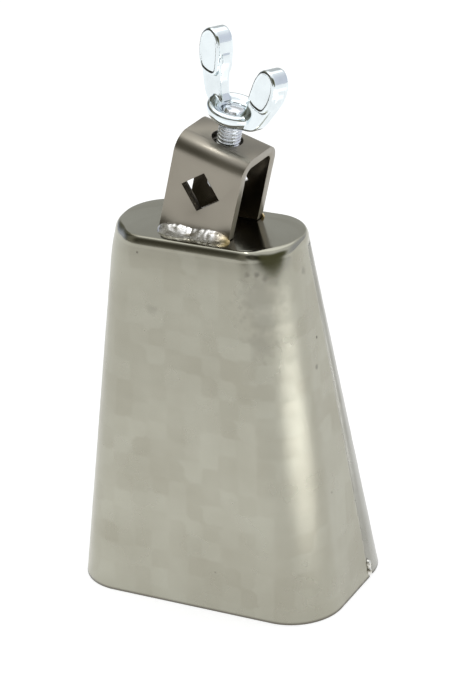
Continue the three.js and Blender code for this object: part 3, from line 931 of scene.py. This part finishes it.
STRAP_NICKEL = satin_nickel("satin_strap", (0.31, 0.287, 0.24), (0.27, 0.247, 0.205), 0.33)
# a dark copy of the strap's plate: painted shade inside the bend, and darker walls for the rod holes
STRAP_INSIDE_SHADE = satin_nickel("strap_inside_painted_shade", (0.13, 0.11, 0.08), (0.08, 0.068, 0.05), 0.26)
BRIGHT_WELD = bead_metal("bright_weld", (0.95, 0.94, 0.92), (0.80, 0.62, 0.30), 0.011)
PLATED_WELD = bead_metal("plated_weld", (0.80, 0.79, 0.74), (0.80, 0.79, 0.74), 1.0)
ZINC = polished("zinc_plate", (0.78, 0.80, 0.83), 0.16, 0.05)
CHROME = polished("chrome_plate", (0.81, 0.875, 0.90), 0.06, 0.04)
# painted shade in the wings' sunk panels: a dark polished material for the steps round them
PANEL_RECESS_SHADE = polished("painted_shade_in_recesses", (0.10, 0.10, 0.09), 0.35, 0.04)

# ---- pieces on their bodies ----

finish_piece(front_shell(), "bell", "front_shell", SHELL_NICKEL)
finish_piece(rear_shell(), "bell", "rear_shell", REAR_NICKEL)
finish_piece(seam_weld("seam_weld_bead_right", 1, 2.5),
             "bell", "seam_weld_right", PLATED_WELD)
finish_piece(seam_weld("seam_weld_bead_left", -1, 7.5),
             "bell", "seam_weld_left", PLATED_WELD)
bracket = mounting_bracket()
finish_piece(bracket, "bell", "mounting_bracket", STRAP_NICKEL)
paint_shade_inside(bracket)
finish_piece(bracket_weld("bracket_bead_front", -1, -13.6, 13.6, 4.0),
             "bell", "bracket_weld_front", BRIGHT_WELD)
finish_piece(bracket_weld("bracket_bead_rear", 1, -13.0, 14.2, 9.0),
             "bell", "bracket_weld_rear", BRIGHT_WELD)
finish_piece(weld_nut(), "bell", "weld_nut", ZINC)
finish_piece(nut_tack("nut_tack_bead_right", 1, 1.0), "bell", "nut_tack_right", BRIGHT_WELD)
finish_piece(nut_tack("nut_tack_bead_left", -1, 6.0), "bell", "nut_tack_left", BRIGHT_WELD)
finish_piece(threaded_stud(), "stud", "threaded_stud", ZINC)
wing = wing_head()
finish_piece(wing, "wing", "wing_head", CHROME)
shade_panel_walls(wing)


# ---- studio ----

CAMERA_AZIMUTH, CAMERA_ELEVATION, CAMERA_ROLL = 28.85, 25.95, 3.70
CAMERA_DISTANCE = 1.027
CAMERA_AIM = Vector((0.0033, 0.0018, 0.0820))
LENS = 160.2
SPOT_HEIGHT, SPOT_CONE, SPOT_SOFTNESS = 0.7, 33, 0.05
FLOOR_HALF, FLOOR_GREY, FLOOR_GLOW = 8, 0.55, 0.66


def direction(azimuth, elevation):
    """From the object towards a place round it: azimuth 0 is in front, 90 is on the right."""
    a, e = math.radians(azimuth), math.radians(elevation)
    return Vector((math.sin(a) * math.cos(e), -math.cos(a) * math.cos(e), math.sin(e)))


def make_camera():
    data = bpy.data.cameras.new("camera")
    data.lens = LENS
    data.sensor_width = 36
    data.clip_end = 20
    camera = bpy.data.objects.new("camera", data)
    bpy.context.scene.collection.objects.link(camera)
    back = direction(CAMERA_AZIMUTH, CAMERA_ELEVATION)
    rolled = Matrix.Rotation(-math.radians(CAMERA_ROLL), 4, "Z")
    turned = (-back).to_track_quat("-Z", "Y").to_matrix().to_4x4()
    camera.matrix_world = Matrix.Translation(CAMERA_AIM + back * CAMERA_DISTANCE) @ turned @ rolled
    bpy.context.scene.camera = camera


def make_world():
    """A bright studio: soft shades, each round a direction, over an even light."""
    world = bpy.data.worlds.new("studio")
    bpy.context.scene.world = world
    world.use_nodes = True
    tree = world.node_tree
    place = tree.nodes.new("ShaderNodeTexCoord").outputs["Generated"]
    background = tree.nodes["Background"]
    base = tree.nodes.new("ShaderNodeRGB").outputs[0]
    base.default_value = (*WORLD_COLOUR, 1)
    colour = base
    for towards, (inner, outer), tint in WORLD_SHADES:
        dot = tree.nodes.new("ShaderNodeVectorMath")
        dot.operation = "DOT_PRODUCT"
        tree.links.new(place, dot.inputs[0])
        dot.inputs[1].default_value = towards
        near = tree.nodes.new("ShaderNodeMapRange")
        near.interpolation_type = "SMOOTHSTEP"
        tree.links.new(dot.outputs["Value"], near.inputs["Value"])
        near.inputs["From Min"].default_value = math.cos(math.radians(outer))
        near.inputs["From Max"].default_value = math.cos(math.radians(inner))
        mix = tree.nodes.new("ShaderNodeMix")
        mix.data_type = "RGBA"
        mix.blend_type = "MULTIPLY"
        first, second = [socket for socket in mix.inputs if socket.type == "RGBA"]
        tree.links.new(near.outputs["Result"], mix.inputs[0])
        tree.links.new(colour, first)
        second.default_value = (*tint, 1)
        colour = next(socket for socket in mix.outputs if socket.type == "RGBA")
    tree.links.new(colour, background.inputs["Color"])


def make_light(name, towards, distance, size, energy):
    data = bpy.data.lights.new(name, "AREA")
    data.shape = "DISK"
    data.size = size
    data.energy = energy
    light = bpy.data.objects.new(name, data)
    bpy.context.scene.collection.objects.link(light)
    light.location = CAMERA_AIM + towards * distance
    light.rotation_euler = towards.to_track_quat("Z", "Y").to_euler()


def make_floor_spot(name, azimuth, reach, energy):
    """Soft extra light on the floor in front of the object, for its walls to mirror."""
    data = bpy.data.lights.new(name, "SPOT")
    data.energy = energy
    data.spot_size = math.radians(SPOT_CONE)
    data.spot_blend = 1
    data.shadow_soft_size = SPOT_SOFTNESS
    light = bpy.data.objects.new(name, data)
    bpy.context.scene.collection.objects.link(light)
    light.location = direction(azimuth, 0) * reach + Vector((0, 0, SPOT_HEIGHT))


def make_floor():
    """A plain pale floor, clear from below so that the mouth can be looked into."""
    half = FLOOR_HALF / MM
    floor = mesh_piece("floor", [(-half, -half, 0), (half, -half, 0), (half, half, 0), (-half, half, 0)],
                       [(0, 1, 2, 3)])
    made = Nodes("floor_paper", (FLOOR_GREY,) * 3, 0.0, 0.8)
    made.shader.inputs["Specular IOR Level"].default_value = 0.1
    made.shader.inputs["Emission Color"].default_value = (1, 1, 1, 1)
    made.shader.inputs["Emission Strength"].default_value = FLOOR_GLOW
    clear = made.node("BsdfTransparent")
    below = made.node("NewGeometry").outputs["Backfacing"]
    mix = made.node("MixShader", {0: below, 1: made.shader.outputs["BSDF"], 2: clear.outputs["BSDF"]})
    output = made.tree.nodes["Material Output"]
    made.tree.links.new(mix.outputs[0], output.inputs["Surface"])
    floor.data.materials.append(made.material)


WORLD_COLOUR = (0.97, 0.985, 1.0)
# towards, the angles from full strength to none, and the tint that multiplies the even light
WORLD_SHADES = [
    (direction(CAMERA_AZIMUTH, 30), (12, 26), (0.12, 0.115, 0.09)),
    (direction(66, 22), (16, 32), (0.13, 0.13, 0.07)),
    (direction(-15, 24), (16, 40), (0.25, 0.24, 0.20)),
    (direction(-60, 24), (20, 44), (0.25, 0.24, 0.20)),
    (direction(-108, 34), (16, 32), (0.30, 0.29, 0.22)),
    (direction(CAMERA_AZIMUTH + 180, 24), (16, 48), (0.58, 0.58, 0.57)),
    (direction(130, 5), (15, 45), (0.66, 0.67, 0.74)),
    (direction(-100, 5), (10, 35), (0.62, 0.66, 0.80)),
]
make_camera()
make_world()
make_light("overhead", direction(CAMERA_AZIMUTH + 175, 72), 2.2, 3.0, 13)
make_floor_spot("floor_spot_right", 74.6, 0.34, 68)
make_floor_spot("floor_spot_left", -30, 0.14, 4)
make_floor()
bpy.context.scene.view_settings.view_transform = "Standard"
